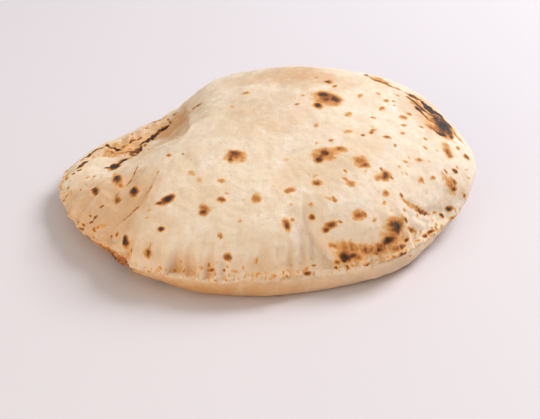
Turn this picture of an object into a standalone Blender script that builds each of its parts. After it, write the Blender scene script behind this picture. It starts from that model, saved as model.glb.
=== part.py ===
"""A puffed roti: one round flatbread that its own steam has blown up into a pocket.

The top skin is a broad dome, lower on the left. Towards the back left it has fallen in to a low flap behind
a folded ridge, and folds run up from the places where the seam draws in. The bottom skin is flat where the
bread rests and curls up to the seam, more tightly at the front than at the back. The bread is one solid piece.
Blender script, metres, +Z up, origin at the middle of the underside.
"""

import math

import bmesh
import bpy
from mathutils import Vector, noise

MM = 0.001

# Driving dimensions, in millimetres. Positions are in plan from the middle of the seam, +Y to the back.
# Angles are in degrees round the seam, 0 at +X and -90 at the front.
SEAM_RADIUS = 97.0
DOME_RISE = 38.0
PLAIN_SEAM_HEIGHT = 13.0

# The round is flatter at the front, round this angle.
FRONT_FLATTENING = 11.0
FLATTENED_MIDDLE = -75.0
FLATTENED_HALF = 50.0

# How the top skin closes down to the seam: it stays high for longer with a higher first power, and its edge
# is rounder with a lower second one.
CLOSING_START = 2.6
CLOSING_ROUND = 0.58

# How far out the bread rests, as a share of the seam's radius: more at the front, round this angle.
CONTACT_SHARE_FRONT = 0.91
CONTACT_SHARE_BACK = 0.74
FRONT_MIDDLE = -80.0
FRONT_HALF = 30.0
FRONT_FADE = 24.0

# The mesh starts as a cube of this many squares a side, blown up to a ball. The seam lies at this angle from
# the ball's top. This share of the way from the ball's bottom to the seam becomes the flat of the underside.
SQUARES = 31
SEAM_COLATITUDE = 116.0
FLAT_SHARE = 0.5

# The seam's puckers and lifts fade towards the middle with these powers of the share of the way out.
PUCKER_FADE_TOP = 6
PUCKER_FADE_BOTTOM = 2
LIFT_FADE = 3

# Where the seam draws in, or bellies out where the depth is below 0: angle, half-width in degrees, depth.
PUCKERS = [
    (-180.0, 22.0, -3.0),
    (-163.0, 9.0, 2.5),
    (-151.0, 7.0, 2.0),
    (-141.0, 5.0, 5.0),
    (-77.0, 10.0, 6.5),
    (-52.0, 9.0, -3.5),
    (-36.0, 15.0, 5.5),
    (-27.0, 8.0, 4.0),
    (-1.0, 9.0, -2.0),
    (62.0, 12.0, 3.0),
    (98.0, 14.0, 2.5),
    (142.0, 9.0, 3.5),
]

# How far the seam rises or dips from its plain height: angle, half-width in degrees, height.
SEAM_LIFTS = [
    (-178.0, 40.0, -3.0),
    (-141.0, 12.0, -1.0),
    (-100.0, 35.0, -4.0),
    (5.0, 35.0, 5.0),
    (70.0, 14.0, -2.0),
    (135.0, 30.0, -4.0),
]

# Broad swells and hollows of the top skin: x, y, radius, height.
SWELLS = [
    (20.0, 11.0, 48.0, 6.0),
    (-75.0, 6.0, 50.0, -17.0),
    (-82.0, -5.0, 34.0, -10.0),
    (45.0, -37.0, 26.0, 4.0),
    (64.0, 33.0, 32.0, 5.5),
    (-25.0, 54.0, 24.0, -5.0),
    (4.0, 12.0, 11.0, -1.5),
    (-14.0, -6.0, 13.0, -1.2),
]

# The fallen part: its right flank slopes down from the shoulder, its front drops behind the ridge.
SHOULDER_X = -28.0
SHOULDER_WIDTH = 34.0
RIDGE_START = (-40.0, -1.0)
RIDGE_SLANT = -0.25
RIDGE_WIDTH = 8.0
LIP_HEIGHT = 1.8
LIP_HALF = 5.0
LIP_TO_RIDGE = 2.0
FLAP_RISE = 3.0

# Folds pressed into the top skin: points along the fold from its shallow end, half-width, depth. A fold has its
# full depth from this share of its length on. Here and in UNEVENNESS the skin counts as laid out flat, as a
# round of this radius.
FLAT_RADIUS = 115.0
FULL_DEPTH_AT = 0.6
FOLDS = [
    ([(12.0, -50.0), (12.0, -70.0), (17.0, -84.0), (25.0, -97.0), (36.0, -103.0)], 5.4, 3.2),
    ([(-50.0, 62.0), (-47.0, 47.0), (-53.0, 38.0), (-57.0, 30.0)], 3.6, 2.4),
    ([(-45.0, -46.0), (-51.0, -54.0), (-59.0, -59.0), (-70.0, -65.0), (-80.0, -70.0)], 5.0, 3.0),
    ([(-50.0, -24.0), (-56.0, -35.0), (-64.0, -43.0)], 4.0, 2.0),
    ([(60.0, -57.0), (80.0, -59.0), (95.0, -55.0)], 3.6, 1.2),
    ([(58.0, -66.0), (74.0, -72.0), (86.0, -74.0)], 4.0, 1.0),
    ([(44.0, 60.0), (50.0, 78.0), (55.0, 100.0)], 7.0, 3.0),
    ([(-8.0, 62.0), (-12.0, 82.0), (-16.0, 106.0)], 6.0, 2.4),
    ([(14.0, 74.0), (18.0, 104.0)], 5.0, 1.6),
    ([(82.0, 34.0), (98.0, 42.0)], 5.0, 1.6),
]
UNEVENNESS = 0.9
UNEVEN_LENGTH = 26.0

# The folds and the unevenness grow from nothing at the table to their full size at this height.
FULL_RELIEF_HEIGHT = 6.0


def bell(distance, half_width):
    """1 at no distance, fading smoothly to nothing past about two half-widths."""
    return math.exp(-((distance / half_width) ** 2))


def ease(value):
    """0 below 0, 1 above 1, and a smooth step between."""
    value = min(1.0, max(0.0, value))
    return value * value * (3.0 - 2.0 * value)


def turn_between(a, b):
    """The angle from b to a in degrees, from -180 to 180."""
    return (a - b + 180.0) % 360.0 - 180.0


def round_the_seam(rows, angle):
    """The sum at this angle of rows of angle, half-width and size."""
    return sum(size * bell(turn_between(angle, at), wide) for at, wide, size in rows)


def plain_seam_radius(angle):
    return SEAM_RADIUS - FRONT_FLATTENING * bell(turn_between(angle, FLATTENED_MIDDLE), FLATTENED_HALF)


def seam_height(angle):
    return PLAIN_SEAM_HEIGHT + round_the_seam(SEAM_LIFTS, angle)


def contact_share(angle):
    """How far out the flat of the underside reaches, as a share of the seam's radius."""
    front = 1.0 - ease((abs(turn_between(angle, FRONT_MIDDLE)) - FRONT_HALF) / FRONT_FADE)
    return CONTACT_SHARE_BACK + (CONTACT_SHARE_FRONT - CONTACT_SHARE_BACK) * front


def past_ridge(x, y):
    """Distance behind the ridge line."""
    return y - RIDGE_START[1] - RIDGE_SLANT * (x - RIDGE_START[0])


def fallen(x, y):
    """1 where the top skin has fallen in, 0 where the bread is still puffed."""
    return ease((SHOULDER_X - x) / SHOULDER_WIDTH) * ease(past_ridge(x, y) / RIDGE_WIDTH)


def puff(x, y):
    """Rise of the top skin over the seam, before it closes down to the edge."""
    high = DOME_RISE
    for swell_x, swell_y, radius, height in SWELLS:
        high += height * bell(math.hypot(x - swell_x, y - swell_y), radius)
    lip = LIP_HEIGHT * bell(past_ridge(x, y) + LIP_TO_RIDGE, LIP_HALF)
    high += lip * ease((SHOULDER_X - x) / SHOULDER_WIDTH)
    share = fallen(x, y)
    return high * (1.0 - share) + FLAP_RISE * share


def top_point(angle, out):
    """A point of the top skin. out runs from 0 in the middle to 1 at the seam."""
    radians = math.radians(angle)
    radius = out * (plain_seam_radius(angle) - round_the_seam(PUCKERS, angle) * out**PUCKER_FADE_TOP)
    x = radius * math.cos(radians)
    y = radius * math.sin(radians)
    closing = (1.0 - out**CLOSING_START) ** CLOSING_ROUND if out < 1.0 else 0.0
    level = PLAIN_SEAM_HEIGHT + (seam_height(angle) - PLAIN_SEAM_HEIGHT) * out**LIFT_FADE
    return x, y, level + closing * puff(x, y)


def bottom_point(angle, out):
    """A point of the bottom skin: flat, then a quarter ellipse up to the seam."""
    radians = math.radians(angle)
    if out <= FLAT_SHARE:
        share, lift = contact_share(angle) * out / FLAT_SHARE, 0.0
    else:
        roll = (out - FLAT_SHARE) / (1.0 - FLAT_SHARE) * math.pi / 2.0
        share = contact_share(angle) + (1.0 - contact_share(angle)) * math.sin(roll)
        lift = 1.0 - math.cos(roll)
    radius = share * (plain_seam_radius(angle) - round_the_seam(PUCKERS, angle) * lift**PUCKER_FADE_BOTTOM)
    return radius * math.cos(radians), radius * math.sin(radians), lift * seam_height(angle)


def bread_point(direction):
    """Where a point of the starting ball goes."""
    angle = math.degrees(math.atan2(direction.y, direction.x))
    colatitude = math.degrees(math.acos(max(-1.0, min(1.0, direction.z))))
    if colatitude <= SEAM_COLATITUDE:
        point = top_point(angle, math.sin(math.pi / 2.0 * colatitude / SEAM_COLATITUDE))
    else:
        point = bottom_point(angle, (180.0 - colatitude) / (180.0 - SEAM_COLATITUDE))
    return Vector(point) * MM


def laid_flat(direction):
    """Where a point of the starting ball lies once the skin is spread out into a flat round."""
    reach = FLAT_RADIUS * math.degrees(math.acos(max(-1.0, min(1.0, direction.z)))) / SEAM_COLATITUDE
    angle = math.atan2(direction.y, direction.x)
    return Vector((reach * math.cos(angle), reach * math.sin(angle)))


def nearest_on_path(spot, path):
    """How far a flat spot is from a path, and how far along the path that is, from 0 to 1."""
    found = []
    for step, (start, end) in enumerate(zip(map(Vector, path), map(Vector, path[1:]))):
        along = (spot - start).dot(end - start) / (end - start).length_squared
        along = min(1.0, max(0.0, along))
        found.append(((spot - start.lerp(end, along)).length, (step + along) / (len(path) - 1)))
    return min(found)


def fold_depth(spot, path, half_width, depth):
    """How deep a fold is at a flat spot. It starts from nothing."""
    distance, along = nearest_on_path(spot, path)
    return depth * ease(along / FULL_DEPTH_AT) * bell(distance, half_width)


def skin_offset(spot):
    """How far the skin stands in or out at a flat spot, from its folds and its unevenness."""
    folds = sum(fold_depth(spot, *fold) for fold in FOLDS)
    uneven = noise.noise(Vector((spot.x / UNEVEN_LENGTH, spot.y / UNEVEN_LENGTH, 0.0)))
    return UNEVENNESS * uneven - folds


def even_ball(squares):
    """A ball of even squares, blown up from a cube."""
    ball = bmesh.new()
    bmesh.ops.create_cube(ball, size=2.0)
    bmesh.ops.subdivide_edges(ball, edges=ball.edges[:], cuts=squares - 1, use_grid_fill=True)
    for vert in ball.verts:
        vert.co = Vector([math.tan(c * math.pi / 4.0) for c in vert.co]).normalized()
    return ball


def fold_skin(shape, directions):
    """Moves the points that are clear of the flat underside in or out along the skin's normal."""
    shape.normal_update()
    offsets = [skin_offset(laid_flat(direction)) * MM for direction in directions]
    normals = [vert.normal.copy() for vert in shape.verts]
    for vert, normal, offset in zip(shape.verts, normals, offsets):
        if vert.co.z > 0.0:
            vert.co += normal * offset * ease(vert.co.z / (FULL_RELIEF_HEIGHT * MM))


def centre_on_base(shape):
    """Puts the origin under the middle of the bread's bounding box."""
    for axis in (0, 1):
        reach = [vert.co[axis] for vert in shape.verts]
        middle = (min(reach) + max(reach)) / 2.0
        for vert in shape.verts:
            vert.co[axis] -= middle


def bread_material():
    material = bpy.data.materials.new("baked_bread")
    material.use_nodes = True
    shader = material.node_tree.nodes["Principled BSDF"]
    shader.inputs["Base Color"].default_value = (0.82, 0.68, 0.50, 1.0)
    shader.inputs["Roughness"].default_value = 0.75
    return material


def make_roti(collection):
    shape = even_ball(SQUARES)
    directions = [vert.co.copy() for vert in shape.verts]
    for vert in shape.verts:
        vert.co = bread_point(vert.co)
    fold_skin(shape, directions)
    centre_on_base(shape)
    mesh = bpy.data.meshes.new("roti")
    shape.to_mesh(mesh)
    shape.free()
    mesh.shade_smooth()
    roti = bpy.data.objects.new("roti", mesh)
    collection.objects.link(roti)
    roti.data.materials.append(bread_material())


def main():
    for obj in list(bpy.data.objects):
        bpy.data.objects.remove(obj)
    collection = bpy.data.collections.new("roti")
    bpy.context.scene.collection.children.link(collection)
    make_roti(collection)


main()
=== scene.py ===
"""The looks of a puffed roti: its finely wrinkled skin, its browning and its scorch marks, on a pale table."""

import math
import random

import bpy
import numpy as np
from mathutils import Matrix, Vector, noise
from mathutils.bvhtree import BVHTree


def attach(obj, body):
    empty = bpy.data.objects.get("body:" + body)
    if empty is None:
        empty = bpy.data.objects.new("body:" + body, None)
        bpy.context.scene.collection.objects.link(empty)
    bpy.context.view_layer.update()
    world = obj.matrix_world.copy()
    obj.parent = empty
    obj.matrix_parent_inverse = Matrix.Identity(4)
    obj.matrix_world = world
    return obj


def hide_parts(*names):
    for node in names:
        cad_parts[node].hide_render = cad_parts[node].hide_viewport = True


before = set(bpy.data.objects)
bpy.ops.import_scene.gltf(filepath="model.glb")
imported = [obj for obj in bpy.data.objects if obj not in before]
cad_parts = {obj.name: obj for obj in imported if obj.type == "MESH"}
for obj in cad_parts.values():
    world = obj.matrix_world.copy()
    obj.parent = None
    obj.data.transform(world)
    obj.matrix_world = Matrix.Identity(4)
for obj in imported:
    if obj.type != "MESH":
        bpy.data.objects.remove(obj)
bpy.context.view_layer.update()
MM = 0.001


# The camera
# A short telephoto, held about as high as a seated diner's eyes, looking down on the bread from in front.
# The bread isn't in the middle of the picture: the camera looks at a spot just in front of its middle.
PICTURE_WIDTH, PICTURE_HEIGHT = 540, 419
LENS_MM, SENSOR_MM = 70.0, 36.0
CAMERA_ELEVATION = math.radians(29.8)
CAMERA_DISTANCE = 500.0 * MM
CAMERA_AIM = Vector((1.1, -13.0, 0.0)) * MM

picture_right = Vector((1.0, 0.0, 0.0))
picture_up = Vector((0.0, math.sin(CAMERA_ELEVATION), math.cos(CAMERA_ELEVATION)))
towards_camera = Vector((0.0, -math.cos(CAMERA_ELEVATION), math.sin(CAMERA_ELEVATION)))
camera_spot = CAMERA_AIM + towards_camera * CAMERA_DISTANCE

camera = bpy.data.objects.new("camera", bpy.data.cameras.new("camera"))
camera.data.lens = LENS_MM
camera.data.sensor_width = SENSOR_MM
camera.location = camera_spot
camera.rotation_euler = (math.pi / 2.0 - CAMERA_ELEVATION, 0.0, 0.0)
bpy.context.scene.collection.objects.link(camera)
bpy.context.scene.camera = camera


# The bread's body
# One round of rolled dough that puffed as it baked, so its skin is thin and soft, with a slightly uneven surface.
# It is the plain solid with four times as many faces each way, so that the skin's fine relief has room.
SKIN_LEVELS = 2
SAME_PLACE = 0.00001
LARGEST_QUAD_BEND = math.radians(60.0)

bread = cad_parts["roti"].copy()
bread.data = bread.data.copy()
bread.name = "roti_skin"
bread.data.name = "roti_skin"
bpy.context.scene.collection.objects.link(bread)
bpy.ops.object.select_all(action="DESELECT")
bread.select_set(True)
bpy.context.view_layer.objects.active = bread
bpy.ops.object.mode_set(mode="EDIT")
bpy.ops.mesh.select_all(action="SELECT")
bpy.ops.mesh.remove_doubles(threshold=SAME_PLACE)
bpy.ops.mesh.tris_convert_to_quads(face_threshold=LARGEST_QUAD_BEND, shape_threshold=LARGEST_QUAD_BEND)
bpy.ops.object.mode_set(mode="OBJECT")
bpy.ops.mesh.customdata_custom_splitnormals_clear()
finer = bread.modifiers.new("finer", "SUBSURF")
finer.levels = SKIN_LEVELS
finer.render_levels = SKIN_LEVELS
bpy.ops.object.modifier_apply(modifier="finer")

spots = np.array([vert.co for vert in bread.data.vertices]) / MM
facings = np.array([vert.normal for vert in bread.data.vertices])


# Places on the bread
# A mark is placed where the picture shows it: a line of sight through that pixel is followed to the bread.
# Lengths on the bread are in millimetres, and its height is counted from the table that it rests on.
FOCAL_PIXELS = LENS_MM / SENSOR_MM * PICTURE_WIDTH
LONGEST_FOOTPRINT = 1.6
SHALLOWEST_VIEW = 0.15
SEED_STEPS = (1.0, 1.7, 0.3)

bread_tree = BVHTree.FromPolygons(
    [vert.co.copy() for vert in bread.data.vertices], [tuple(face.vertices) for face in bread.data.polygons]
)


def line_of_sight(x, y):
    across = picture_right * (x - PICTURE_WIDTH / 2.0)
    up = picture_up * (PICTURE_HEIGHT / 2.0 - y)
    return (across + up - towards_camera * FOCAL_PIXELS).normalized()


def on_bread(x, y):
    """The spot in mm and the facing of the bread at a pixel. A pixel just off its edge takes the nearest spot."""
    sight = line_of_sight(x, y)
    spot, facing, _, _ = bread_tree.ray_cast(camera_spot, sight)
    if spot is None:
        passing = camera_spot + sight * (CAMERA_AIM - camera_spot).dot(sight)
        spot, facing, _, _ = bread_tree.find_nearest(passing)
    return np.array(spot) / MM, np.array(facing)


def footprint(x, y, facing, turn):
    """How far on the skin one pixel reaches at this turn of the picture, in mm, as a flat arrow on the skin."""
    sight = line_of_sight(x, y)
    step = picture_right * math.cos(turn) + picture_up * math.sin(turn)
    facing = Vector(facing)
    depth = -step.dot(facing) / min(-SHALLOWEST_VIEW, sight.dot(facing))
    arrow = (step + sight * depth) * (CAMERA_DISTANCE / MM / FOCAL_PIXELS)
    if arrow.length > LONGEST_FOOTPRINT:
        arrow *= LONGEST_FOOTPRINT / arrow.length
    return np.array(arrow)


def uneven(points, length, seed):
    """Smooth noise from -1 to 1 at points in mm. A pair named WAVES is its length in mm and its seed."""
    shift = Vector([seed * step for step in SEED_STEPS])
    return np.array([noise.noise(Vector(point) / length + shift) for point in points])


# Scorch marks
# Where the skin touched the griddle or the flame it browned: pale gold first, then brown, then black.
# Each mark is its place in the picture, half-length, half-width, turn in degrees and heat from 0 to 1.
SCORCHES = [
    # the top
    (327, 98, 16, 8, -8, 0.80), (323, 95, 10, 4, -4, 1.02), (335, 99, 9, 4.6, -12, 0.94),
    (318, 105.5, 5.5, 3.4, 0, 0.88), (329, 81.5, 5.5, 3, 0, 0.78), (335, 86, 3.4, 1.8, 10, 0.60),
    (360, 96, 3, 2.4, 0, 0.52), (349, 113.5, 5, 3.4, 0, 0.40), (382, 109, 3.4, 2.3, 0, 0.72),
    (386.5, 100.4, 3.4, 1.4, 0, 0.58), (373.6, 117.7, 3.4, 1.2, -10, 0.56), (403, 118, 4.6, 2.6, -20, 0.62),
    (409, 114, 3.4, 1.2, -30, 0.60), (403.6, 125.8, 2.6, 1.3, 0, 0.54), (402.5, 133.5, 2.6, 1.2, -20, 0.48),
    (349, 131, 4.4, 2, 0, 0.50),
    (373.4, 130.2, 2.8, 1.5, 0, 0.58), (387, 138.2, 4.6, 1.6, -10, 0.64), (316, 125.5, 2.4, 2, 0, 0.50),
    (303, 96, 4, 1, 0, 0.36), (246, 93.5, 4.6, 1.2, 10, 0.66), (231, 106, 6, 3, -10, 0.30),
    # the middle
    (325, 154, 15, 7, 8, 0.70), (325, 153.5, 6.5, 3.4, 0, 1.02), (319, 159, 6, 3.6, 0, 0.78),
    (340, 149.5, 8, 3.4, -8, 0.66), (361, 161, 12, 5.8, -10, 0.54), (365, 164.4, 7, 3.2, 5, 0.72),
    (386, 175, 6.4, 5.8, 0, 0.90), (380, 177, 6, 3.6, 0, 0.58), (351, 183.5, 5.6, 3.2, -20, 0.66),
    (345.5, 179, 3, 1.6, -30, 0.56), (386, 193, 3.5, 3.2, 0, 0.74), (317, 183, 4.8, 2.8, 0, 0.68),
    (290, 190, 5.4, 3.4, 12, 0.64), (256, 199, 4.8, 5, 0, 0.60), (330, 198.5, 5, 1.8, -12, 0.42),
    (311, 205, 2.2, 2, 0, 0.36), (291, 204.5, 2, 1.5, 0, 0.42), (312, 217, 2.6, 2.6, 0, 0.76),
    (331, 224.5, 6, 4, 20, 0.80), (326, 230, 4.4, 3, 30, 0.80), (287, 225.5, 4, 7.4, 10, 0.82),
    (292, 220, 2.2, 1.8, 0, 0.50), (359, 215, 7, 6.4, 0, 0.54), (358, 216, 4.4, 3.4, 0, 0.64),
    (286, 159, 4, 3, 0, 0.26), (243, 200, 2.4, 2, 0, 0.26), (273, 186, 2, 1.6, 0, 0.26),
    (235, 156, 12, 7.4, 0, 0.64), (236, 153.6, 8, 4, 0, 0.82), (231, 160, 4, 2.8, 0, 0.84),
    # the left of the dome
    (221.5, 199.5, 3.8, 2.8, 0, 0.72), (226, 193, 2.6, 1.4, 0, 0.30), (222, 180.5, 3.4, 2.3, 15, 0.56),
    (205, 209, 5.8, 6.6, 0, 0.64), (204, 212, 4.8, 3.6, 0, 0.84), (199, 180, 3.2, 2.6, 30, 0.44),
    (191, 172, 5, 3.2, -25, 0.38), (167.5, 199.5, 8.2, 3.6, 36, 1.08), (160, 203.5, 4.4, 1.3, 12, 0.66),
    (161.5, 229, 3.2, 2.4, 15, 0.88), (149.8, 253, 5, 4.8, 0, 0.80), (151, 246, 2, 4, 0, 0.46),
    (220.5, 235.5, 2.3, 3.2, 20, 0.46), (228.5, 257, 3.8, 3.8, 0, 0.78), (202, 267.5, 1.9, 1.7, 0, 0.54),
    (211, 270.5, 3.8, 1.8, 12, 0.62), (162.5, 267, 2.6, 1.8, 30, 0.50), (125.4, 241.6, 2.3, 7.2, -6, 1.06),
    (150, 187.5, 4, 2.8, 50, 0.56), (147, 218, 2.6, 2.4, 0, 0.34), (158, 172, 2.6, 1.6, 20, 0.34),
    (169, 155.5, 3, 2.8, 0, 0.62), (183, 154, 1.3, 1.2, 0, 0.60), (256, 261, 1.8, 3, 0, 0.48),
    # the left lobe
    (133.4, 190.6, 6.4, 4.2, 55, 1.06), (135.8, 209, 6, 2.8, 45, 0.90), (117, 178.5, 6, 9, 0, 1.06),
    (115, 167, 7, 4, 20, 0.86), (118, 200.4, 4.6, 3.4, 20, 0.80), (95.6, 191.4, 4.8, 3.8, 40, 0.96),
    (100, 227, 6.4, 2.8, 20, 0.56), (94.5, 230, 2.6, 2.4, 0, 0.66), (84.5, 210.5, 3.4, 1.8, 45, 0.62),
    (90, 216, 1.6, 1.4, 0, 0.70), (87.5, 178, 3, 1, 30, 0.56), (94.5, 177, 1.5, 1.2, 0, 0.66),
    (72, 214, 1.4, 1.8, 0, 0.74), (79, 222, 1.6, 1.8, 0, 0.70), (82, 229, 1.5, 1.5, 0, 0.66),
    (146, 189, 4, 2.6, 50, 0.40),
    (120, 150, 16, 5, 22, 0.40), (114, 166.5, 8, 4.4, 28, 0.96), (131, 149.5, 9, 4, 10, 0.44),
    # the great burn at the front right
    (374, 250, 36, 10, 8, 0.58), (395, 236, 14, 18, 0, 0.56), (345, 253, 15, 11, -20, 0.60),
    (396.5, 227, 8, 12, 8, 1.10), (393, 226, 8, 10, 0, 0.80), (395, 218, 5, 3.4, 0, 0.66),
    (388, 240.5, 8, 4.6, 25, 1.06), (379, 246, 9, 4.4, 5, 0.62), (379, 249.5, 3.8, 3, 0, 0.86),
    (365, 250, 4.4, 3.4, -30, 0.78), (397, 248, 11, 5.4, 10, 0.60), (402, 247, 3, 4.4, 20, 0.84),
    (401, 254, 2, 2, 0, 0.86), (411.5, 229.5, 6, 2.6, -25, 0.78), (405, 219, 5, 1.6, -48, 0.86),
    (345, 256, 8, 6, -40, 0.98), (344.5, 260, 3.2, 2.8, 0, 1.00), (334, 246, 6, 3.4, -15, 0.62),
    (351, 247, 3.6, 6.6, 0, 0.66), (358, 257, 7, 4, 0, 0.60), (353, 255, 4, 3, 0, 0.80),
    (337.5, 262.5, 2.8, 2.6, 0, 0.66), (367, 262.5, 3.6, 1.3, 20, 0.84), (353, 265, 2.2, 1.4, 0, 0.66),
    (336, 268, 1.5, 1.3, 0, 0.80), (383, 262, 2, 1.2, 10, 0.50), (314, 265.5, 2.4, 1, 0, 0.60),
    # the right
    (447.5, 151, 10.5, 3.6, -62, 0.72), (449.5, 156, 3, 2, -60, 0.64), (450, 184, 15, 5, -62, 0.64),
    (454, 189, 2.6, 2.8, 0, 0.86), (454.5, 181.5, 5, 1.3, -58, 0.74), (449, 209, 3.8, 3.2, 0, 0.92),
    (441.5, 215.5, 4, 1.8, -30, 0.86), (434, 212.5, 3.6, 1.8, 0, 0.50), (451.5, 218, 2.4, 1.3, 45, 0.64),
    (419, 160, 4, 2, -10, 0.56), (421, 180, 3, 3.8, 0, 0.52), (433, 178, 2.4, 2.2, 0, 0.48),
    (467, 157, 4.6, 2, -45, 0.84), (458, 148.5, 2.6, 1.2, -40, 0.60), (454.5, 171, 3.8, 1.4, -35, 0.84),
    (465, 170, 2, 0.9, 0, 0.46), (468, 178, 3, 0.9, -20, 0.42), (463.5, 195.5, 3.6, 1.2, -72, 0.86),
    (420.6, 127.6, 3.4, 1.2, -22, 0.66), (425.6, 138.8, 3, 1.3, -30, 0.66), (425.5, 147.2, 2.8, 1.2, -35, 0.58),
    (406.5, 161.5, 3, 1.2, -25, 0.42), (399, 167, 2.6, 1.8, -20, 0.36), (429.5, 232, 4.4, 1.6, 28, 0.90),
    (424, 236, 1.8, 1.8, 0, 0.86), (418, 240.5, 2.4, 1, 20, 0.56), (411, 256, 2, 0.9, 40, 0.56),
    # the burnt back edge
    (443, 126, 15, 9, -50, 1.24), (448, 131.5, 8, 5, -52, 1.06), (436, 119, 9, 5.4, -40, 1.00),
    (451, 137, 3.6, 3, -50, 0.84), (422, 106, 24, 7, -42, 0.42), (434, 118, 17, 10, -44, 0.50),
    (378, 79, 16, 4.4, -20, 0.44), (366.5, 75, 3, 1.6, -10, 0.90), (430, 127, 6, 3, -40, 0.54),
    (432, 112, 4.4, 3, -40, 0.98), (449, 125, 5, 3, -50, 1.00),
]
RIM_HEAT = 0.12
HEAT_RISE = 0.95
HALO_MM = 0.5
LARGEST_HALO = 0.45
RAGGED_MM = 1.7
LEAST_RAGGED = 0.5
THINNEST_REACH = 4.0
EDGE_WAVER = 0.24
EDGE_WAVES = [(1.9, 3.0), (4.2, 7.0)]


def turned_mark(x, y, half_length, half_width, turn, heat):
    """A mark as its middle, facing, the two arrows on the skin that span it, and its heat."""
    spot, facing = on_bread(x, y)
    turn = math.radians(turn)
    along = footprint(x, y, facing, turn) * half_length
    across = footprint(x, y, facing, turn + math.pi / 2.0) * half_width
    return spot, facing, along, across, heat


def share_inside(spot, facing, along, across):
    """How near each point of the skin is to the middle of a mark: 1 there, 0 at its edge and less outside."""
    gap = spots - spot
    pair = np.stack([along, across, np.asarray(facing)], axis=1)
    length, width, height = np.linalg.solve(pair, gap.T)
    reach = max(np.linalg.norm(along), np.linalg.norm(across))
    return 1.0 - np.sqrt(length**2 + width**2 + (height / max(THINNEST_REACH, reach)) ** 2)


def scorch(spot, facing, along, across, heat):
    """The heat that a mark gives each point of the skin: full in its middle, with a ragged, pale halo."""
    size = math.sqrt(np.linalg.norm(along) * np.linalg.norm(across))
    raggedness = min(1.0, max(LEAST_RAGGED, RAGGED_MM / size))
    halo = min(LARGEST_HALO, HALO_MM / size)
    inside = share_inside(spot, facing, along, across) + raggedness * edge_waver + halo
    return heat * np.clip(RIM_HEAT + HEAT_RISE * inside, 0.0, 1.0)


heats_and_shade = np.zeros(len(spots))
edge_waver = sum(EDGE_WAVER * uneven(spots, *waves) for waves in EDGE_WAVES)
for mark in SCORCHES:
    heats_and_shade = np.maximum(heats_and_shade, scorch(*turned_mark(*mark)))


# The seam
# The two skins meet in a pinched seam, and a smooth band of the lower skin shows below it. In front the seam runs
# through these places in the picture, and round the back it keeps the height that it has at their ends.
SEAM = [
    (86, 233), (98, 240), (113, 246), (121, 254), (128, 261), (137, 267), (148, 269.5), (160, 271), (180, 274),
    (205, 278), (225, 280), (245, 277), (270, 279), (300, 275), (322, 273), (343, 270), (365, 265.5), (387, 260),
    (398, 256), (408.5, 251.5), (419, 244), (430, 237.5), (441, 228), (452, 219),
]
SEAM_WANDER, SEAM_WAVES = 0.9, (5.0, 43.0)
FACING_DOWN = -0.05

seam_places = np.array([on_bread(x, y)[0] for x, y in SEAM])
seam_angles = np.degrees(np.arctan2(seam_places[:, 1], seam_places[:, 0]))
in_turn = np.argsort(seam_angles)
skin_angles = np.degrees(np.arctan2(spots[:, 1], spots[:, 0]))
seam_heights = np.interp(skin_angles, seam_angles[in_turn], seam_places[in_turn, 2], period=360.0)
above_seam = spots[:, 2] - seam_heights + SEAM_WANDER * uneven(spots, *SEAM_WAVES)
under_skin = facings[:, 2] < FACING_DOWN
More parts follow.
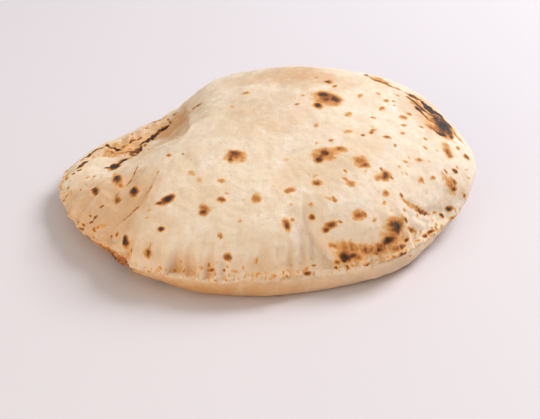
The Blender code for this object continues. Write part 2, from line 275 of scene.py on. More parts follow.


# Folds
# The skin folded where the pocket filled unevenly. Each fold's line is painted darker by its heat: partly the char
# of its sharp edge, partly painted shade in the crease, and the faint lines along the pleats and the groove are
# painted shade alone. The low side of each step is painted tan as shade. Each fold is the places that it runs
# through in the picture, then in mm how far its left side lies below its right side (or its right side below its
# left, where that is negative), the groove's half-width and depth, and its heat from 0 to 1.
FOLDS = [
    # the edge of the fallen flap, its dark mouth, and the fold at its foot
    ([(106, 170), (116, 165.5), (125, 160.4), (134.8, 156), (143.5, 152.4), (150, 149.6), (159.8, 146),
      (168.5, 143), (179.3, 139), (186, 134), (190, 129), (190.5, 123), (188.5, 115), (184, 107), (181, 101)],
     3.2, 0.8, 0.0, 0.0),
    ([(141, 147.4), (136.5, 152.2), (130, 155.6), (123.7, 158.4), (117, 161.6), (112, 164.4), (106, 168)],
     0.0, 2.1, 1.6, 0.91),
    ([(121, 160.5), (117, 164), (114, 169)], 0.0, 2.2, 0.8, 0.89),
    ([(135, 154.6), (143, 151.6), (150, 149), (158, 146), (166, 142.6)], 0.0, 0.7, 0.3, 0.90),
    ([(167, 118), (170, 122.4), (164.5, 127), (158.7, 130), (155.4, 134.5), (151, 138.8), (144.6, 143), (140, 146)],
     1.2, 0.6, 1.0, 0.89),
    ([(140, 147.6), (135, 151), (130, 151.5)], 0.0, 1.7, 0.5, 0.88),
    ([(141, 139), (134, 140), (130, 143.6)], 0.0, 1.4, 0.4, 0.80),
    # streaks across the flap
    ([(121.5, 150.4), (116, 149.4), (110, 147.4), (106, 146)], 0.5, 1.2, 0.5, 0.91),
    ([(105, 147), (98, 149.6), (91.6, 153.4), (86, 157), (82, 161)], 0.6, 0.6, 0.4, 0.88),
    ([(91, 154.6), (85, 158.4)], 0.0, 1.1, 0.4, 0.89),
    ([(88, 161.4), (83, 164), (78, 168)], 0.0, 1.3, 0.3, 0.91),
    ([(82, 170), (77, 172)], 0.0, 0.9, 0.2, 0.92),
    ([(130, 152), (118, 154), (106, 152)], 0.5, 0.6, 0.3, 0.56),
    ([(128, 146), (120, 147), (112, 143)], 0.5, 0.7, 0.3, 0.40),
    ([(150, 124), (140, 130), (128, 134.5)], 0.5, 0.6, 0.3, 0.24),
    ([(161, 121), (157, 122.6), (152, 125)], 0.3, 0.6, 0.2, 0.86),
    ([(176.5, 112.4), (171, 116)], 0.3, 0.6, 0.2, 0.86),
    ([(147, 129), (143, 131.5)], 0.0, 0.6, 0.2, 0.76),
    ([(202, 103), (196, 106), (192, 108.5)], 0.3, 0.7, 0.3, 0.82),
    # between the left lobe and the dome
    ([(126, 186), (130, 180), (134, 173), (138, 166)], 0.7, 0.5, 0.4, 0.70),
    ([(112, 200), (116, 196), (120, 191)], 0.4, 0.5, 0.4, 0.64),
    ([(112, 232), (117, 226), (123, 220.5), (129, 214.5), (135, 209), (142, 202), (148, 194), (151, 186),
      (154, 179), (159, 172)], 2.3, 0.6, 0.4, 0.30),
    ([(123, 220.5), (129, 214.5), (134, 210)], 0.0, 0.5, 0.2, 0.66),
    ([(134, 272), (127, 264), (121, 254), (114, 246), (111.5, 238), (111, 231)], 3.2, 0.7, 0.6, 0.20),
    ([(90, 223), (93, 219.5), (97, 215.5)], 0.4, 0.6, 0.4, 0.84),
    ([(84, 235), (90, 242), (96, 247)], 0.0, 0.8, 0.4, 0.70),
    ([(76, 184), (88, 188), (100, 184), (110, 177)], 0.5, 0.6, 0.2, 0.0),
    ([(70, 200), (82, 204), (92, 204)], 0.5, 0.6, 0.2, 0.0),
    # the groove in the front
    ([(334, 266), (327, 258), (318.4, 249.2), (312, 241.6), (306.5, 232), (303, 217), (301.5, 204), (302, 192)],
     -1.2, 0.6, 0.5, 0.06),
    # the wrinkles at the right
    ([(404, 200), (411, 204), (419, 210), (429, 214.5)], 0.4, 1.0, 0.5, 0.48),
    ([(418, 209.4), (422, 212), (427, 214)], 0.0, 0.9, 0.2, 0.72),
    ([(402, 211), (412, 217), (424, 223), (434, 226)], 0.7, 0.7, 0.4, 0.10),
    ([(406, 206), (418, 213), (430, 218)], 0.5, 0.6, 0.4, 0.06),
    ([(436, 208), (444, 200), (450, 190)], 0.4, 0.7, 0.3, 0.0),
    # pleats above the front edge, their lines painted shade in the creases
    ([(203, 234), (202, 246), (200.5, 256), (199.5, 270)], 0.9, 0.7, 0.3, 0.10),
    ([(186, 252), (186.5, 264), (187, 276)], 0.6, 0.7, 0.3, 0.08),
    ([(178, 256), (177, 264), (174, 273)], 0.5, 0.8, 0.3, 0.30),
    ([(276, 244), (275, 258), (276, 274)], 0.8, 0.7, 0.3, 0.10),
    ([(257, 256), (256, 264), (256.5, 270)], 0.4, 0.6, 0.3, 0.26),
    ([(216, 246), (217, 258), (216, 268)], 0.6, 0.8, 0.2, 0.04),
    ([(160, 246), (158, 262)], 0.6, 0.8, 0.3, 0.08),
    ([(239, 250), (240, 266)], 0.6, 0.7, 0.2, 0.04),
    ([(288, 252), (289, 270)], 0.5, 0.7, 0.2, 0.04),
    ([(145, 232), (140, 246), (139, 258)], 0.6, 0.8, 0.3, 0.06),
    # streaks along the burnt back edge
    ([(366, 76), (374, 79.6), (382, 82), (388, 85), (394, 88.5)], 0.5, 1.7, 0.2, 0.72),
    ([(380, 79), (390, 83.5)], 0.3, 1.6, 0.2, 0.62),
    ([(394, 87), (401, 90.5)], 0.3, 1.4, 0.2, 0.66),
    ([(406, 92.5), (413, 95.5), (420, 99.5)], 0.4, 2.0, 0.3, 0.92),
    ([(407, 96.5), (414.7, 101), (420.5, 106), (425.5, 110.6), (430, 114), (434, 116)], 0.5, 1.5, 0.4, 0.96),
    ([(410, 101), (415, 103.8), (420, 109), (425, 114.6)], 0.4, 1.1, 0.3, 0.66),
    ([(415.5, 106.6), (420, 111.4), (425.5, 117), (430, 121), (435, 123.6)], 0.5, 1.2, 0.3, 0.94),
    ([(421, 100.6), (426, 105), (430, 109.2), (435.5, 112.4), (441, 116.5), (445, 120.5), (448, 125)],
     0.5, 3.0, 0.3, 1.10),
    ([(434, 131), (439, 133.5), (444.5, 136.4)], 0.3, 0.9, 0.3, 0.96),
    ([(424, 124), (430, 127.4), (436, 130)], 0.3, 0.7, 0.2, 0.60),
    ([(454, 132), (460, 139), (466, 146)], 0.4, 1.5, 0.3, 0.56),
]
STEP_WIDTH = 0.9
REACH_PER_STEP = 3.4
SMALLEST_STEP = 0.1
STEP_RISE = 0.25
RISE_REACH = 2.2
GROOVE_SOFTNESS = 0.4
LINE_SOFTNESS = 0.2
STEPS_PER_PLACE = 6
SHADE_PER_STEP_MM = 0.20
END_SHARE = 0.2
END_WIDTH = 0.3
LINE_CORE, LINE_FALL = 2.0, 1.6
WIDTH_WAVER, WIDTH_WAVES = 0.9, (2.2, 11.0)
HEAT_WAVER, HEAT_WAVES = 0.35, (3.4, 13.0)
SHORTEST_RUN = 1e-6


def along_fold(path):
    """The places in mm that a fold runs through, with a few more between each two, and the skin's facing there."""
    pixels = np.array(path, dtype=float)
    steps = np.linspace(0.0, len(pixels) - 1.0, STEPS_PER_PLACE * len(pixels))
    columns = np.interp(steps, range(len(pixels)), pixels[:, 0])
    rows = np.interp(steps, range(len(pixels)), pixels[:, 1])
    return [on_bread(x, y) for x, y in zip(columns, rows)]


def beside_fold(places):
    """Each point's distance to a fold, its place along the fold from 0 to 1, and how far to the left it is."""
    nearest = np.full(len(spots), np.inf)
    share = np.zeros(len(spots))
    left = np.zeros(len(spots))
    for step, ((start, facing), (end, _)) in enumerate(zip(places, places[1:])):
        run = end - start
        along = np.clip((spots - start) @ run / max(SHORTEST_RUN, run @ run), 0.0, 1.0)
        off = spots - start - along[:, None] * run
        gap = np.linalg.norm(off, axis=1)
        closer = gap < nearest
        nearest[closer] = gap[closer]
        share[closer] = (step + along[closer]) / (len(places) - 1)
        leftward = np.cross(facing, run) / max(SHORTEST_RUN, np.linalg.norm(run))
        left[closer] = off[closer] @ leftward
    return nearest, share, left


fold_push = np.zeros(len(spots))
fold_low_side_shade = np.zeros(len(spots))
width_waver = 1.0 + WIDTH_WAVER * uneven(spots, *WIDTH_WAVES)
heat_waver = 1.0 + HEAT_WAVER * uneven(spots, *HEAT_WAVES)
for path, step_height, half_width, depth, heat in FOLDS:
    gap, share, left = beside_fold(along_fold(path))
    taper = np.clip(np.minimum(share, 1.0 - share) / END_SHARE, 0.0, 1.0)
    low_side = left if step_height > 0.0 else -left
    reach = REACH_PER_STEP * max(SMALLEST_STEP, abs(step_height))
    step_down = abs(step_height) * taper * np.clip(low_side / STEP_WIDTH, 0.0, 1.0) * np.exp(-gap / reach)
    fold_push -= step_down
    # The low side of each step is painted tan as shade, more for a higher step.
    fold_low_side_shade = np.maximum(fold_low_side_shade, SHADE_PER_STEP_MM * step_down)
    rise = STEP_RISE * abs(step_height) * np.exp(-((gap / RISE_REACH) ** 2))
    fold_push += rise * taper * (low_side <= 0.0)
    fold_push -= depth * taper * np.exp(-((gap / (half_width + GROOVE_SOFTNESS)) ** 2))
    # Along its line each fold is painted darker by its heat, as char on a sharp edge and as painted shade in the
    # crease.
    dark_reach = half_width * (END_WIDTH + (1.0 - END_WIDTH) * taper) * width_waver + LINE_SOFTNESS
    darkness = np.clip(LINE_CORE - LINE_FALL * gap / dark_reach, 0.0, 1.0)
    heats_and_shade = np.maximum(heats_and_shade, heat * heat_waver * darkness)


# The skin's relief
# Baking left the skin soft and a little lumpy. It is crumpled where it fell in and at the ends of the folds, drawn
# into fine upright pleats above the seam, and crimped along the seam. Where it lies on the table it stays flat.
# Each size of lump is its length and its height in mm.
LUMPS = [(15.0, 0.55), (6.5, 0.56), (2.8, 0.24)]
# Each crumpled place is its place in the picture, half-length, half-width, turn in degrees and height in mm.
CRUMPLED = [
    (120, 146, 54, 13, 27, 0.75), (98, 190, 30, 24, 20, 0.3), (104, 222, 30, 24, -20, 0.45),
    (146, 216, 22, 34, 25, 0.225), (428, 206, 30, 18, -30, 0.3), (438, 126, 34, 12, -48, 0.3),
    (384, 246, 34, 14, 14, 0.2),
]
LUMP_SEED = 17.0
CRUMPLE_WAVES, CRUMPLE_SHARPNESS = (6.0, 23.0), 3.0
FINE_CRUMPLE_WAVES, FINE_CRUMPLE_SHARE = (2.4, 24.0), 0.5
CRUMPLE_SPREAD, CRUMPLE_RISE = 0.1, 1.6
PLEAT_WAVES = (3.2, 29.0)
PLEAT_HEIGHT = 5.2
PLEAT_REACH = 21.0
PLEAT_FADE = 1.2
PLEAT_START = 1.5
PLEAT_PATCH_WAVES = (22.0, 30.0)
USUAL_PLEATS, PLEAT_PATCHES = 0.55, 1.4
FEWEST_PLEATS, MOST_PLEATS = 0.1, 1.2
FAINTEST_PLEATS = 0.2
FULL_PLEATS_IN_FRONT = 60.0
PLEATS_END_RIGHT, PLEATS_FADE_RIGHT = 70.0, 25.0
BREAD_RADIUS = 90.0
UPRIGHT_STRETCH = 0.14
SEAM_CRIMP = 0.9
CRIMP_REACH = 1.4
CRIMPS_ABOVE_SEAM = 0.8
CRIMP_SWELL, CRIMP_WAVES = 0.30, (2.6, 37.0)
SEAM_LIP = 0.7
LIP_REACH = 0.8
LIP_ABOVE_SEAM = 0.4
GUTTER_BELOW_SEAM, GUTTER_DEPTH = 1.2, 0.8
LIP_SWELL, LIP_WAVER, LIP_WAVES = 0.8, 0.8, (9.0, 39.0)
BLISTER_HEIGHT = 0.5
BLISTERS_FROM, BLISTERS_SPAN = 0.30, 0.5
BLISTER_WAVES = (1.6, 31.0)
FLAT_HEIGHT, CLEARANCE = 0.6, 3.0


def ridge(offset, reach):
    """A smooth ridge, 1 high along its middle and level beyond its reach."""
    return np.exp(-((offset / reach) ** 2))


clear_of_table = np.clip((spots[:, 2] - FLAT_HEIGHT) / CLEARANCE, 0.0, 1.0)

lumps = sum(depth * uneven(spots, length, LUMP_SEED + length) for length, depth in LUMPS)
folded_noise = 1.0 - CRUMPLE_SHARPNESS * np.abs(uneven(spots, *CRUMPLE_WAVES))
folded_noise += FINE_CRUMPLE_SHARE * uneven(spots, *FINE_CRUMPLE_WAVES)
crumples = np.zeros(len(spots))
for *mark, height in CRUMPLED:
    *place, _ = turned_mark(*mark, 0.0)
    strength = np.clip(CRUMPLE_RISE * (share_inside(*place) + CRUMPLE_SPREAD), 0.0, 1.0)
    crumples = np.maximum(crumples, height * strength)

angles = np.radians(skin_angles)
round_seam = np.stack(
    [BREAD_RADIUS * np.cos(angles), BREAD_RADIUS * np.sin(angles), UPRIGHT_STRETCH * spots[:, 2]], axis=1
)
near_seam = np.clip(1.0 - above_seam / PLEAT_REACH, 0.0, 1.0) * np.clip(above_seam / PLEAT_START + 1.0, 0.0, 1.0)
pleat_places = USUAL_PLEATS + PLEAT_PATCHES * uneven(spots, *PLEAT_PATCH_WAVES)
pleat_places = np.clip(pleat_places, FEWEST_PLEATS, MOST_PLEATS)
pleat_places *= np.clip(-spots[:, 1] / FULL_PLEATS_IN_FRONT, FAINTEST_PLEATS, 1.0)
pleat_places *= np.clip((PLEATS_END_RIGHT - spots[:, 0]) / PLEATS_FADE_RIGHT, FAINTEST_PLEATS, 1.0)
pleat_waves = uneven(round_seam, *PLEAT_WAVES) * pleat_places
pleats = PLEAT_HEIGHT * near_seam**PLEAT_FADE * pleat_waves

on_seam = ridge(above_seam - CRIMPS_ABOVE_SEAM, CRIMP_REACH) * ~under_skin
crimps = SEAM_CRIMP * on_seam * (CRIMP_SWELL + uneven(spots, *CRIMP_WAVES))
lip = ridge(above_seam - LIP_ABOVE_SEAM, LIP_REACH)
lip -= GUTTER_DEPTH * ridge(above_seam + GUTTER_BELOW_SEAM, LIP_REACH)
crimps += SEAM_LIP * lip * ~under_skin * (LIP_SWELL + LIP_WAVER * uneven(spots, *LIP_WAVES))
blisters = np.clip(heats_and_shade - BLISTERS_FROM, 0.0, BLISTERS_SPAN) * (1.0 + uneven(spots, *BLISTER_WAVES))

skin_push = fold_push + lumps + crumples * folded_noise + pleats + crimps + BLISTER_HEIGHT * blisters
skin_push *= clear_of_table
moved = (spots + facings * skin_push[:, None]) * MM
bread.data.vertices.foreach_set("co", moved.astype(np.float32).ravel())
bread.data.update()
bpy.ops.object.select_all(action="DESELECT")
bread.select_set(True)
bpy.context.view_layer.objects.active = bread
bpy.ops.object.shade_smooth()


# Freckles
# Tiny blisters scorched everywhere, most of them along the seam and on the high side that was nearest the flame.
# They are strewn at random with a fixed seed: how many, and where in terms of facing and of place across the bread.
FRECKLE_SEED = 8
FRECKLE_HEATS = (0.24, 0.29, 0.35, 0.43, 0.54, 0.76)
SEAM_FRECKLES, HIGH_FRECKLES, OTHER_FRECKLES = 300, 90, 60
SEAM_STRIP_FROM, SEAM_STRIP_TO = -0.4, 5.5
FACING_UP = 0.30
HIGH_SIDE_FROM = 10.0
SMALLEST_FRECKLE, LARGEST_FRECKLE = 0.50, 0.90
FRECKLE_LENGTHENING = 2.0
MARK_TILT = 0.3

draw = random.Random(FRECKLE_SEED)
seam_points = np.flatnonzero((above_seam > SEAM_STRIP_FROM) & (above_seam < SEAM_STRIP_TO) & ~under_skin)
high_points = np.flatnonzero((facings[:, 2] > FACING_UP) & (spots[:, 0] > HIGH_SIDE_FROM))
other_points = np.flatnonzero(facings[:, 2] > FACING_UP)


def strewn_mark(points, size, lengthening):
    """A mark of about this size and a random turn and length, on a random one of these points of the skin."""
    point = int(points[draw.randrange(len(points))])
    facing = facings[point]
    turn = draw.uniform(0.0, math.pi)
    side = np.cross(facing, (math.cos(turn), math.sin(turn), MARK_TILT))
    side /= np.linalg.norm(side)
    along = side * size * draw.uniform(1.0, lengthening)
    return spots[point], facing, along, np.cross(facing, side) * size


for count, points in (
    (SEAM_FRECKLES, seam_points), (HIGH_FRECKLES, high_points), (OTHER_FRECKLES, other_points)
):
    for _ in range(count):
        size = draw.uniform(SMALLEST_FRECKLE, LARGEST_FRECKLE)
        mark = strewn_mark(points, size, FRECKLE_LENGTHENING)
        heats_and_shade = np.maximum(heats_and_shade, scorch(*mark, draw.choice(FRECKLE_HEATS)))


# The back and the underside
# Away from the picture's side the bread scorched in the same way, so it has marks of the same kinds, strewn at
# random with a fixed seed. Most are a millimetre or two across, and a few are as wide as the largest in front.
HIDDEN_MARKS = 170
HIDDEN_SEED = 5
HIDDEN_HEATS = (0.45, 0.55, 0.62, 0.70, 0.78, 0.86, 0.98)
SMALLEST_HIDDEN, HIDDEN_GROWTH = 0.8, 4.4
HIDDEN_SMALLNESS = 3
HIDDEN_LENGTHENING = 2.2
FACING_AWAY = -0.15

draw = random.Random(HIDDEN_SEED)
hidden_points = np.flatnonzero(facings @ np.array(towards_camera) < FACING_AWAY)
for _ in range(HIDDEN_MARKS):
    size = SMALLEST_HIDDEN + HIDDEN_GROWTH * draw.random() ** HIDDEN_SMALLNESS
    mark = strewn_mark(hidden_points, size, HIDDEN_LENGTHENING)
    heats_and_shade = np.maximum(heats_and_shade, scorch(*mark, draw.choice(HIDDEN_HEATS)))


# Tan places
# The band below the seam is painted tan, partly as its own even browning and partly as painted shade, less of it
# towards the right, where the lamp is. The low sides of the fold steps and the hollows between the pleats are
# painted tan as shade, and under the lobe the band is painted darker still, partly as painted shadow. Along the
# seam the skin is finely dotted with gold. The colours below read this from the mesh.
# Each tan place is its place in the picture, half-length, half-width, turn in degrees and strength. The places on
# the steep facet behind the ridge, beside the cleft between the lobe and the dome, along the low front and on the
# groove's right flank are painted shade.
TAN_PLACES = [
    (292, 73, 44, 9, 0, 0.62), (244, 78, 24, 5, 12, 0.35), (272, 112, 26, 20, 0, 0.16),
    (172, 124, 22, 13, 40, 0.94), (128, 145, 36, 9, 20, 0.62), (118, 150, 20, 6, 22, 1.00),
    (128, 188, 20, 22, 0, 0.62),
    (98, 205, 36, 34, 0, 0.60), (98, 232, 16, 12, -30, 0.50), (160, 266, 34, 10, -14, 0.24),
    (234, 270, 64, 9, 0, 0.36), (322, 247, 10, 20, 40, 0.12), (384, 246, 34, 16, 15, 0.30),
    (428, 112, 24, 10, -40, 0.60), (140, 222, 26, 14, 60, 0.22),
]
SIDE_FROM, SIDE_RISE, SIDE_DEPTH = 0.8, 1.4, 5.0
SIDE_START = 0.55
GRIDDLE_FROM, GRIDDLE_RANGE = 0.88, 0.10
GRIDDLE_PALENESS = 0.55
PALER_BETWEEN, PALER_SHARES = (-20.0, 45.0), (1.0, 0.46)
PLEAT_HOLLOW_SHADE, SHALLOWEST_VALLEY = 5.0, 0.1
VALLEY_FADE = 2
TAN_SPREAD = 0.6
TAN_WAVER, TAN_WAVES = 0.5, (8.0, 41.0)
UNDER_LOBE = (114, 254, 24, 13, -38)
UNDER_LOBE_SHADE_HEAT = 0.66
UNDER_LOBE_SPREAD, UNDER_LOBE_RISE = 0.5, 1.5
DOTS_ABOVE_SEAM, DOTS_REACH = 0.3, 3.4

below_seam = np.clip((-above_seam - SIDE_FROM) / SIDE_RISE, 0.0, 1.0)
below_seam *= SIDE_START + (1.0 - SIDE_START) * np.clip(-above_seam / SIDE_DEPTH, 0.0, 1.0)
on_griddle = np.clip((-facings[:, 2] - GRIDDLE_FROM) / GRIDDLE_RANGE, 0.0, 1.0)
# The band below the seam is painted tan: partly its browning, partly painted shade.
side_tan_and_shade = below_seam * (1.0 - GRIDDLE_PALENESS * on_griddle)
# The band's painted shade is less towards the right, where the lamp is.
side_tan_and_shade *= np.interp(spots[:, 0], PALER_BETWEEN, PALER_SHARES)
# The hollows between the pleats are painted tan as shade.
pleat_hollow_shade = near_seam**VALLEY_FADE * np.clip(-PLEAT_HOLLOW_SHADE * pleat_waves - SHALLOWEST_VALLEY, 0.0, 1.0)
tans = np.maximum(np.maximum(np.minimum(fold_low_side_shade, 1.0), side_tan_and_shade), pleat_hollow_shade * ~under_skin)
tan_waver = TAN_WAVER * uneven(spots, *TAN_WAVES)
for mark in TAN_PLACES:
    *place, strength = turned_mark(*mark)
    tans = np.maximum(tans, strength * np.clip(TAN_SPREAD + share_inside(*place) + tan_waver, 0.0, 1.0))

# Under the lobe the band is painted darker through the heat, partly as painted shadow.
*place, _ = turned_mark(*UNDER_LOBE, 0.0)
under_lobe_shade = below_seam * np.clip(UNDER_LOBE_SPREAD + UNDER_LOBE_RISE * share_inside(*place), 0.0, 1.0)
heats_and_shade = np.maximum(heats_and_shade, UNDER_LOBE_SHADE_HEAT * under_lobe_shade)

dotted = ridge(above_seam - DOTS_ABOVE_SEAM, DOTS_REACH)

# The scorch attribute also carries painted shade in the creases and under the lobe, and the tan attribute painted
# shade on the band, the fold steps, the pleats and the shaded places.
for name, values in (("scorch", heats_and_shade), ("tan", tans), ("dotted", dotted)):
    attribute = bread.data.attributes.new(name, "FLOAT", "POINT")
    attribute.data.foreach_set("value", values.astype(np.float32))


# The skin's colours
# Baked flour skin: cream with floury and warmer clouds and fine speckles, tan at the sides and in the painted
# shade, and gold, brown and black by the heat that each mark took, which also carries the painted shade in the
# creases and under the lobe. It is matt and lets a little light through.
CREAM = (0.83, 0.71, 0.56, 1.0)
WARM_CREAM = (0.79, 0.63, 0.45, 1.0)
FLOURY = (0.87, 0.78, 0.67, 1.0)
SPECKLE = (0.76, 0.60, 0.42, 1.0)
# The tan stands for both browning and painted shade.
TAN = (0.62, 0.325, 0.125, 1.0)
HEAT_COLOURS = [
    (0.00, (0.82, 0.64, 0.42, 1.0)),
    (0.24, (0.77, 0.49, 0.22, 1.0)),
    (0.44, (0.66, 0.31, 0.10, 1.0)),
    (0.60, (0.44, 0.165, 0.045, 1.0)),
    (0.75, (0.21, 0.075, 0.022, 1.0)),
    (0.88, (0.090, 0.038, 0.017, 1.0)),
    (1.00, (0.036, 0.024, 0.020, 1.0)),
]
# Each pattern is the scale and the detail of its noise, and each range is the values where it starts and is full.
WARM_CLOUDS, WARM_RANGE = (42.0, 4.0), (0.42, 0.66)
FLOUR_CLOUDS, FLOUR_RANGE = (95.0, 5.0), (0.50, 0.74)
SPECKLES, SPECKLE_RANGE, SPECKLE_SHARE = (420.0, 3.0), (0.46, 0.70), 0.60
TAN_CLOUDS, TAN_RANGE = (160.0, 5.0), (0.0, 0.52)
FINE_RIPPLES, FINE_RIPPLE_HEAT = (540.0, 4.0, 0.65), 0.62
WIDE_RIPPLES, WIDE_RIPPLE_HEAT = (240.0, 3.0), 0.70
RIPPLE_RANGE, BROWNED_RANGE, BURNT_RANGE = (0.02, 0.30), (0.08, 0.36), (0.55, 0.95)
GOLD_DOTS, DOT_RANGE, DOT_HEAT = (800.0, 2.0), (0.49, 0.62), 0.36
UPRIGHT_DOTS = (1.0, 1.0, 0.4)
MIDDLE_NOISE, USUAL_ROUGHNESS = 0.5, 0.55
SKIN_ROUGHNESS, BURNT_SMOOTHNESS = 0.80, 0.18
SKIN_SPECULAR = 0.30
LIGHT_LET_IN, LIGHT_COLOURS, LIGHT_DEPTH = 0.14, (1.0, 0.55, 0.28), 0.0022
COARSE_GRAIN, FINE_GRAIN, FINE_GRAIN_SHARE = (330.0, 4.0), (1100.0, 4.0), 0.35
CRACKLE, CRACKLE_SHARE = (1500.0, 2.0), 1.4
RELIEF_STRENGTH, RELIEF_HEIGHT = 0.95, 0.5 * MM

skin = bpy.data.materials.new("baked_skin")
skin.use_nodes = True
tree = skin.node_tree
shader = tree.nodes["Principled BSDF"]
place = tree.nodes.new("ShaderNodeTexCoord").outputs["Object"]
upright = tree.nodes.new("ShaderNodeMapping")
upright.inputs["Scale"].default_value = UPRIGHT_DOTS
tree.links.new(place, upright.inputs["Vector"])


def add_noise(scale, detail, roughness=USUAL_ROUGHNESS, at=place):
    found = tree.nodes.new("ShaderNodeTexNoise")
    tree.links.new(at, found.inputs["Vector"])
    found.inputs["Scale"].default_value = scale
    found.inputs["Detail"].default_value = detail
    found.inputs["Roughness"].default_value = roughness
    return found.outputs["Fac"]


def between(value, low, high):
    """0 where the value is at or below low, 1 at or above high, and smooth between."""
    ramp = tree.nodes.new("ShaderNodeMapRange")
    ramp.interpolation_type = "SMOOTHSTEP"
    tree.links.new(value, ramp.inputs["Value"])
    ramp.inputs["From Min"].default_value = low
    ramp.inputs["From Max"].default_value = high
    return ramp.outputs["Result"]


def sum_up(kind, first, second):
    """A Math node of this kind on two values, either of which may be a number."""
    math_node = tree.nodes.new("ShaderNodeMath")
    math_node.operation = kind
    for socket, value in zip(math_node.inputs, (first, second)):
        if isinstance(value, (int, float)):
            socket.default_value = value
        else:
            tree.links.new(value, socket)
    return math_node.outputs["Value"]


def blend_colour(share, under, over):
    mixer = tree.nodes.new("ShaderNodeMix")
    mixer.data_type = "RGBA"
    tree.links.new(share, mixer.inputs["Factor"])
    for name, value in (("A", under), ("B", over)):
        socket = next(s for s in mixer.inputs if s.name == name and s.type == "RGBA")
        if isinstance(value, tuple):
            socket.default_value = value
        else:
            tree.links.new(value, socket)
    return next(s for s in mixer.outputs if s.type == "RGBA")


def read_attribute(name):
    found = tree.nodes.new("ShaderNodeAttribute")
    found.attribute_name = name
    return found.outputs["Fac"]


clouds = blend_colour(between(add_noise(*WARM_CLOUDS), *WARM_RANGE), CREAM, WARM_CREAM)
clouds = blend_colour(between(add_noise(*FLOUR_CLOUDS), *FLOUR_RANGE), clouds, FLOURY)
speckles = sum_up("MULTIPLY", between(add_noise(*SPECKLES), *SPECKLE_RANGE), SPECKLE_SHARE)
clouds = blend_colour(speckles, clouds, SPECKLE)
tan_share = sum_up("MULTIPLY", read_attribute("tan"), between(add_noise(*TAN_CLOUDS), *TAN_RANGE))
skin_colour = blend_colour(tan_share, clouds, TAN)

heat = read_attribute("scorch")
fine_ripple = sum_up("MULTIPLY", sum_up("SUBTRACT", add_noise(*FINE_RIPPLES), MIDDLE_NOISE), FINE_RIPPLE_HEAT)
wide_ripple = sum_up("MULTIPLY", sum_up("SUBTRACT", add_noise(*WIDE_RIPPLES), MIDDLE_NOISE), WIDE_RIPPLE_HEAT)
ripple = sum_up("MULTIPLY", sum_up("ADD", fine_ripple, wide_ripple), between(heat, *RIPPLE_RANGE))
gold_dots = between(add_noise(*GOLD_DOTS, at=upright.outputs["Vector"]), *DOT_RANGE)
gold_dots = sum_up("MULTIPLY", read_attribute("dotted"), gold_dots)
heat = sum_up("MAXIMUM", sum_up("ADD", heat, ripple), sum_up("MULTIPLY", gold_dots, DOT_HEAT))
heat_colour = tree.nodes.new("ShaderNodeValToRGB")
heat_colour.color_ramp.elements.remove(heat_colour.color_ramp.elements[1])
for at, colour in HEAT_COLOURS:
    stop = heat_colour.color_ramp.elements.new(at) if at > 0.0 else heat_colour.color_ramp.elements[0]
    stop.color = colour
tree.links.new(heat, heat_colour.inputs["Fac"])
skin_colour = blend_colour(between(heat, *BROWNED_RANGE), skin_colour, heat_colour.outputs["Color"])
tree.links.new(skin_colour, shader.inputs["Base Color"])

burnt = between(heat, *BURNT_RANGE)
roughness = sum_up("SUBTRACT", SKIN_ROUGHNESS, sum_up("MULTIPLY", burnt, BURNT_SMOOTHNESS))
tree.links.new(roughness, shader.inputs["Roughness"])
shader.inputs["Specular IOR Level"].default_value = SKIN_SPECULAR
shader.inputs["Subsurface Weight"].default_value = LIGHT_LET_IN
shader.inputs["Subsurface Radius"].default_value = LIGHT_COLOURS
shader.inputs["Subsurface Scale"].default_value = LIGHT_DEPTH

grain = sum_up("ADD", sum_up("MULTIPLY", add_noise(*FINE_GRAIN), FINE_GRAIN_SHARE), add_noise(*COARSE_GRAIN))
crackle = sum_up("MULTIPLY", add_noise(*CRACKLE), sum_up("MULTIPLY", burnt, CRACKLE_SHARE))
bump = tree.nodes.new("ShaderNodeBump")
bump.inputs["Strength"].default_value = RELIEF_STRENGTH
bump.inputs["Distance"].default_value = RELIEF_HEIGHT
tree.links.new(sum_up("ADD", grain, crackle), bump.inputs["Height"])
tree.links.new(bump.outputs["Normal"], shader.inputs["Normal"])

bread.data.materials.clear()
bread.data.materials.append(skin)
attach(bread, "root")
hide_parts("roti")


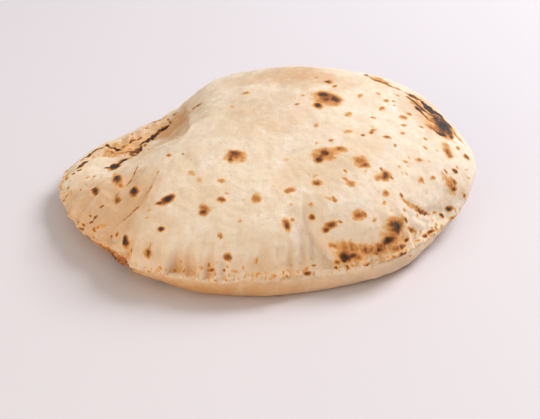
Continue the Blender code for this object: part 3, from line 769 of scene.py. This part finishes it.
# The table and the light
# The bread is shown on a plain pale table under a large soft lamp from the upper right, with a dim lamp at the
# left and a pale sky that fill the shadows.
TABLE_SIZE = 6.0
TABLE_MIDDLE = (0.0, 1.0, 0.0)
TABLE_COLOUR = (0.71, 0.685, 0.725, 1.0)
TABLE_ROUGHNESS = 0.7
LAMP_SIZE = 0.80
WINDOW_SPOT, WINDOW_POWER, WINDOW_COLOUR = (1.00, 0.60, 1.10), 23.0, (0.985, 0.97, 1.0)
FILL_SPOT, FILL_POWER, FILL_COLOUR = (-0.60, -0.80, 0.32), 4.8, (1.0, 0.79, 0.55)
SKY_COLOUR, SKY_STRENGTH = (1.0, 0.955, 0.91, 1.0), 0.51

bpy.ops.object.select_all(action="DESELECT")
bpy.ops.mesh.primitive_plane_add(size=TABLE_SIZE, location=TABLE_MIDDLE)
table = bpy.context.object
table.name = "table"
table_finish = bpy.data.materials.new("table_finish")
table_finish.use_nodes = True
table_shader = table_finish.node_tree.nodes["Principled BSDF"]
table_shader.inputs["Base Color"].default_value = TABLE_COLOUR
table_shader.inputs["Roughness"].default_value = TABLE_ROUGHNESS
table.data.materials.append(table_finish)


def add_lamp(name, spot, power, colour):
    """A soft square lamp at this spot in metres, turned to the bread."""
    lamp = bpy.data.objects.new(name, bpy.data.lights.new(name, "AREA"))
    lamp.data.size = LAMP_SIZE
    lamp.data.energy = power
    lamp.data.color = colour
    lamp.location = spot
    lamp.rotation_euler = (-Vector(spot)).to_track_quat("-Z", "Y").to_euler()
    bpy.context.scene.collection.objects.link(lamp)


add_lamp("window", WINDOW_SPOT, WINDOW_POWER, WINDOW_COLOUR)
add_lamp("fill", FILL_SPOT, FILL_POWER, FILL_COLOUR)

sky = bpy.data.worlds.new("sky")
sky.use_nodes = True
sky.node_tree.nodes["Background"].inputs["Color"].default_value = SKY_COLOUR
sky.node_tree.nodes["Background"].inputs["Strength"].default_value = SKY_STRENGTH
bpy.context.scene.world = sky
bpy.context.scene.view_settings.view_transform = "Standard"
